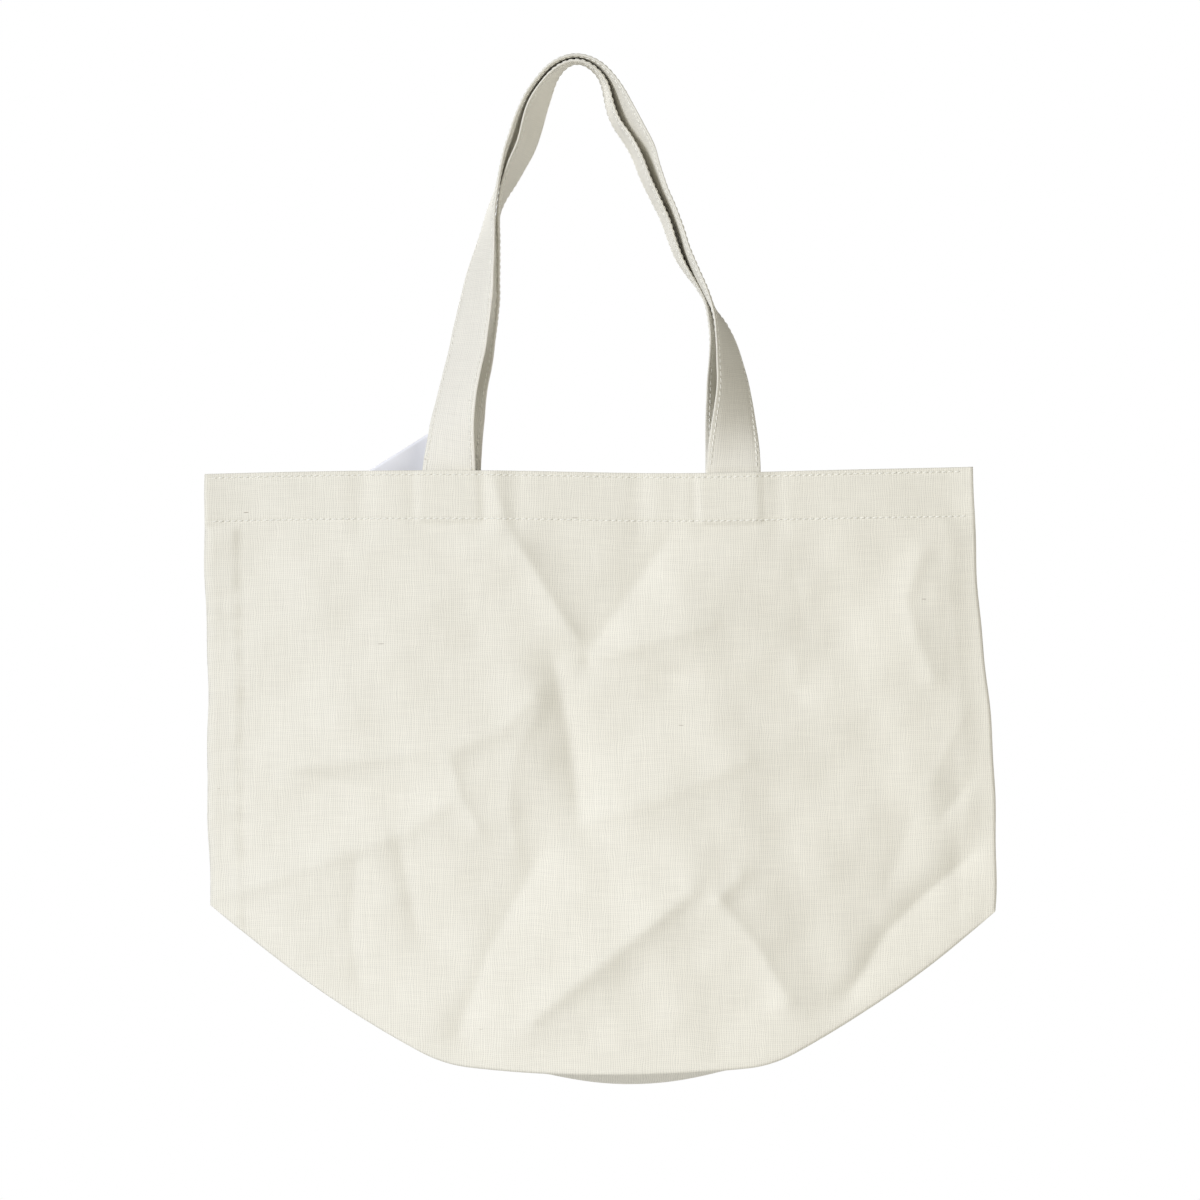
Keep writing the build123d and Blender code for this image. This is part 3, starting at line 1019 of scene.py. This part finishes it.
def cloth_material(name, colour, fleck, bump):
    """Matt cotton with its weave, painted shade in the gaps between its yarns, and flecks, laid by the
    piece's own flat coordinates.
    """
    material = bpy.data.materials.new(name)
    material.use_nodes = True
    tree = material.node_tree
    surface = tree.nodes["Principled BSDF"]
    surface.inputs["Roughness"].default_value = CLOTH_ROUGHNESS
    surface.inputs["Specular IOR Level"].default_value = CLOTH_SPECULAR
    flat = tree.nodes.new("ShaderNodeUVMap")
    flat.uv_map = "Cloth"
    weave = placed_group(tree, "Canvas weave", flat.outputs[0])
    flecks = placed_group(tree, "Canvas flecks", flat.outputs[0])
    # Real tone of thick and thin yarns, then painted shade that darkens the colour in the gaps between the
    # yarns
    yarn_tone_and_gap_shade = calc(tree, "MULTIPLY_ADD", weave.outputs["Streak"], STREAK_TONE, CLOTH_TONE)
    yarn_tone_and_gap_shade = calc(tree, "SUBTRACT", yarn_tone_and_gap_shade, calc(tree, "MULTIPLY", weave.outputs["Gaps"], GAP_PAINTED_SHADE))
    tone = tree.nodes.new("ShaderNodeMix")
    tone.data_type = "RGBA"
    tone.blend_type = "MULTIPLY"
    tone.inputs["Factor"].default_value = 1.0
    tone.inputs["A"].default_value = (*colour, 1.0)
    tree.links.new(yarn_tone_and_gap_shade, tone.inputs["B"])
    speck = tree.nodes.new("ShaderNodeMix")
    speck.data_type = "RGBA"
    speck.inputs["B"].default_value = (*fleck, 1.0)
    tree.links.new(flecks.outputs["Mask"], speck.inputs["Factor"])
    tree.links.new(tone.outputs["Result"], speck.inputs["A"])
    tree.links.new(speck.outputs["Result"], surface.inputs["Base Color"])
    relief = tree.nodes.new("ShaderNodeBump")
    relief.inputs["Strength"].default_value = bump
    relief.inputs["Distance"].default_value = WEAVE_RELIEF
    tree.links.new(weave.outputs["Height"], relief.inputs["Height"])
    tree.links.new(relief.outputs["Normal"], surface.inputs["Normal"])
    return material


def plain_material(name, colour, roughness, sheen):
    """Plain finish for thread, satin and floor."""
    material = bpy.data.materials.new(name)
    material.use_nodes = True
    surface = material.node_tree.nodes["Principled BSDF"]
    surface.inputs["Base Color"].default_value = (*colour, 1.0)
    surface.inputs["Roughness"].default_value = roughness
    surface.inputs["Sheen Weight"].default_value = sheen
    return material


def finish_of(slot):
    """The bag's finish for a slot, made the first time that it is asked for."""
    name = f"tote_{slot}"
    if name in bpy.data.materials:
        return bpy.data.materials[name]
    colours = bpy.context.scene.tote_colours
    if "Canvas weave" not in bpy.data.node_groups:
        weave_group()
        fleck_group()
    if slot in CLOTH_BUMP:
        return cloth_material(name, getattr(colours, slot), colours.fleck, CLOTH_BUMP[slot])
    return plain_material(name, getattr(colours, slot), *PLAIN_FINISH[slot])


def dress(piece, slot, nodes):
    """Gives a piece the finish of a slot and hides the parts of the model that it stands for."""
    piece.data.materials.append(finish_of(slot))
    if nodes:
        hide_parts(*nodes)
    return piece


class TOTE_OT_panels(bpy.types.Operator):
    """Make the front and back panels with their hems"""

    bl_idname = "tote.panels"
    bl_label = "Panels"

    def execute(self, context):
        bag = context.scene.tote_bag
        for word, side in SIDES:
            panel = closed_sheet(f"{word}_cloth", panel_rows(bag, side), bag.canvas)
            dress(panel, "canvas", (f"{word}_panel", f"{word}_hem"))
            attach(panel, "bag")
        return {"FINISHED"}


class TOTE_OT_seams(bpy.types.Operator):
    """Make the cloth turned in at the side seams and under the base"""

    bl_idname = "tote.seams"
    bl_label = "Seam allowances"

    def execute(self, context):
        bag = context.scene.tote_bag
        strips = {
            "left_seam": seam_strip(bag, -1),
            "right_seam": seam_strip(bag, 1),
            "base_seam": base_strip(bag),
        }
        for name, points in strips.items():
            strip = closed_sheet(f"{name}_cloth", points, bag.canvas * STRIP_THINNING)
            dress(strip, "canvas", (f"{name}_allowance",))
            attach(strip, "bag")
        return {"FINISHED"}


class TOTE_OT_handles(bpy.types.Operator):
    """Make the two strap handles with their edge stitching"""

    bl_idname = "tote.handles"
    bl_label = "Handles"

    def execute(self, context):
        sizes = context.scene.tote_strap
        for word, keys, seed in HANDLES:
            frames = strap_frames(sizes, keys)
            band = strap_mesh(sizes, f"{word}_strap", frames, seed)
            ends = [f"{word}_{side}_handle_end" for side in ("left", "right")]
            dress(band, "strap", [f"{word}_handle"] + ends)
            rows = stitches(sizes, f"{word}_strap_stitches", strap_rows(sizes, frames, seed))
            dress(rows, "thread", ())
            for piece in (band, rows):
                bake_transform(piece)
        return {"FINISHED"}


class TOTE_OT_stitching(bpy.types.Operator):
    """Sew the two rows of stitching along each hem"""

    bl_idname = "tote.stitching"
    bl_label = "Hem stitching"

    def execute(self, context):
        bag = context.scene.tote_bag
        sizes = context.scene.tote_strap
        for word, side in SIDES:
            for row, drop in (("mouth", MOUTH_ROW), ("hem", HEM_ROW)):
                line = surface_line(bag, side, drop)
                sewn = stitches(sizes, f"{word}_{row}_stitches", [line])
                dress(sewn, "thread", (f"{word}_{row}_thread",))
                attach(sewn, "bag")
        return {"FINISHED"}


class TOTE_OT_label(bpy.types.Operator):
    """Make the bare satin label"""

    bl_idname = "tote.label"
    bl_label = "Label"

    def execute(self, context):
        sizes = context.scene.tote_strap
        satin = closed_sheet("satin_label", label_points(sizes), LABEL_THICKNESS)
        dress(satin, "label", ("label",))
        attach(satin, "label")
        return {"FINISHED"}


def white_to_camera(tree, shader, output, white_kind, share):
    """Shows the camera and reflections a share of plain white over a shader, which lights the rest."""
    white = tree.nodes.new(white_kind)
    white.inputs["Color"].default_value = (1, 1, 1, 1)
    white.inputs["Strength"].default_value = 1.0
    path = tree.nodes.new("ShaderNodeLightPath")
    seen = calc(tree, "MAXIMUM", path.outputs["Is Camera Ray"], path.outputs["Is Glossy Ray"])
    seen = calc(tree, "MAXIMUM", seen, path.outputs["Is Transmission Ray"])
    mix = tree.nodes.new("ShaderNodeMixShader")
    tree.links.new(calc(tree, "MULTIPLY", seen, share), mix.inputs[0])
    tree.links.new(shader.outputs[0], mix.inputs[1])
    tree.links.new(white.outputs[0], mix.inputs[2])
    tree.links.new(mix.outputs[0], output.inputs["Surface"])


class TOTE_OT_stage(bpy.types.Operator):
    """Set up the white studio, its lights and the camera"""

    bl_idname = "tote.stage"
    bl_label = "Studio"

    def execute(self, context):
        scene = context.scene
        scene.view_settings.view_transform = "Standard"
        white_world(scene)
        pale_floor()
        for lamp in LAMPS:
            add_lamp(*lamp)
        add_camera(scene)
        return {"FINISHED"}


def white_world(scene):
    """World that lights the bag evenly and is white to the camera."""
    world = bpy.data.worlds.new("studio")
    scene.world = world
    world.use_nodes = True
    tree = world.node_tree
    light = tree.nodes["Background"]
    light.inputs["Color"].default_value = (*WORLD_COLOUR, 1.0)
    light.inputs["Strength"].default_value = WORLD_STRENGTH
    white_to_camera(tree, light, tree.nodes["World Output"], "ShaderNodeBackground", 1.0)


def pale_floor():
    """Pale floor well below the hanging bag, which keeps a trace of its shadow."""
    near = [(x, FLOOR_NEAR_Y, FLOOR_Z) for x in (-FLOOR_HALF_X, FLOOR_HALF_X)]
    far = [(x, FLOOR_FAR_Y, FLOOR_Z) for x in (FLOOR_HALF_X, -FLOOR_HALF_X)]
    floor = add_mesh("floor", np.array(near + far), [(0, 1, 2, 3)])
    material = plain_material("floor", FLOOR_COLOUR, FLOOR_ROUGHNESS, 0.0)
    tree = material.node_tree
    surface = tree.nodes["Principled BSDF"]
    white_to_camera(tree, surface, tree.nodes["Material Output"], "ShaderNodeEmission", FLOOR_WHITE)
    floor.data.materials.append(material)


def add_lamp(name, spot, size, colour, power):
    """Square soft box aimed at the bag."""
    lamp = bpy.data.lights.new(name, "AREA")
    lamp.size = size
    lamp.color = colour
    lamp.energy = power
    holder = bpy.data.objects.new(name, lamp)
    holder.location = spot
    holder.rotation_euler = (LAMP_AIM - Vector(spot)).to_track_quat("-Z", "Y").to_euler()
    bpy.context.scene.collection.objects.link(holder)


def add_camera(scene):
    """Level camera straight in front of the bag."""
    lens = bpy.data.cameras.new("camera")
    lens.sensor_width = 36
    lens.lens = lens.sensor_width * CAMERA_DISTANCE / VIEW_WIDTH
    camera = bpy.data.objects.new("camera", lens)
    camera.location = (CAMERA_X, -CAMERA_DISTANCE, CAMERA_Z)
    camera.rotation_euler = (math.pi / 2, 0, 0)
    scene.collection.objects.link(camera)
    scene.camera = camera


class TOTE_PT_panel(bpy.types.Panel):
    """Lists the steps that make the bag, and its sizes and colours"""

    bl_idname = "TOTE_PT_panel"
    bl_label = "Canvas tote bag"
    bl_space_type = "VIEW_3D"
    bl_region_type = "UI"
    bl_category = "Tote"

    def draw(self, context):
        for step in STEPS:
            self.layout.operator(step.bl_idname)
        for group in (context.scene.tote_bag, context.scene.tote_strap, context.scene.tote_colours):
            box = self.layout.box()
            for name in group.bl_rna.properties.keys():
                if name not in ("rna_type", "name"):
                    box.prop(group, name)


STEPS = (
    TOTE_OT_panels,
    TOTE_OT_seams,
    TOTE_OT_handles,
    TOTE_OT_stitching,
    TOTE_OT_label,
    TOTE_OT_stage,
)
CLASSES = (ToteBagSizes, ToteStrapSizes, ToteColours) + STEPS + (TOTE_PT_panel,)


def register():
    """Adds the classes and the scene's settings."""
    for item in CLASSES:
        bpy.utils.register_class(item)
    bpy.types.Scene.tote_bag = bpy.props.PointerProperty(type=ToteBagSizes)
    bpy.types.Scene.tote_strap = bpy.props.PointerProperty(type=ToteStrapSizes)
    bpy.types.Scene.tote_colours = bpy.props.PointerProperty(type=ToteColours)


def unregister():
    """Removes them again."""
    del bpy.types.Scene.tote_colours
    del bpy.types.Scene.tote_strap
    del bpy.types.Scene.tote_bag
    for item in reversed(CLASSES):
        bpy.utils.unregister_class(item)


def main():
    """Makes the whole bag."""
    register()
    bpy.ops.tote.panels()
    bpy.ops.tote.seams()
    bpy.ops.tote.handles()
    bpy.ops.tote.stitching()
    bpy.ops.tote.label()
    bpy.ops.tote.stage()


if __name__ == "__main__":
    main()
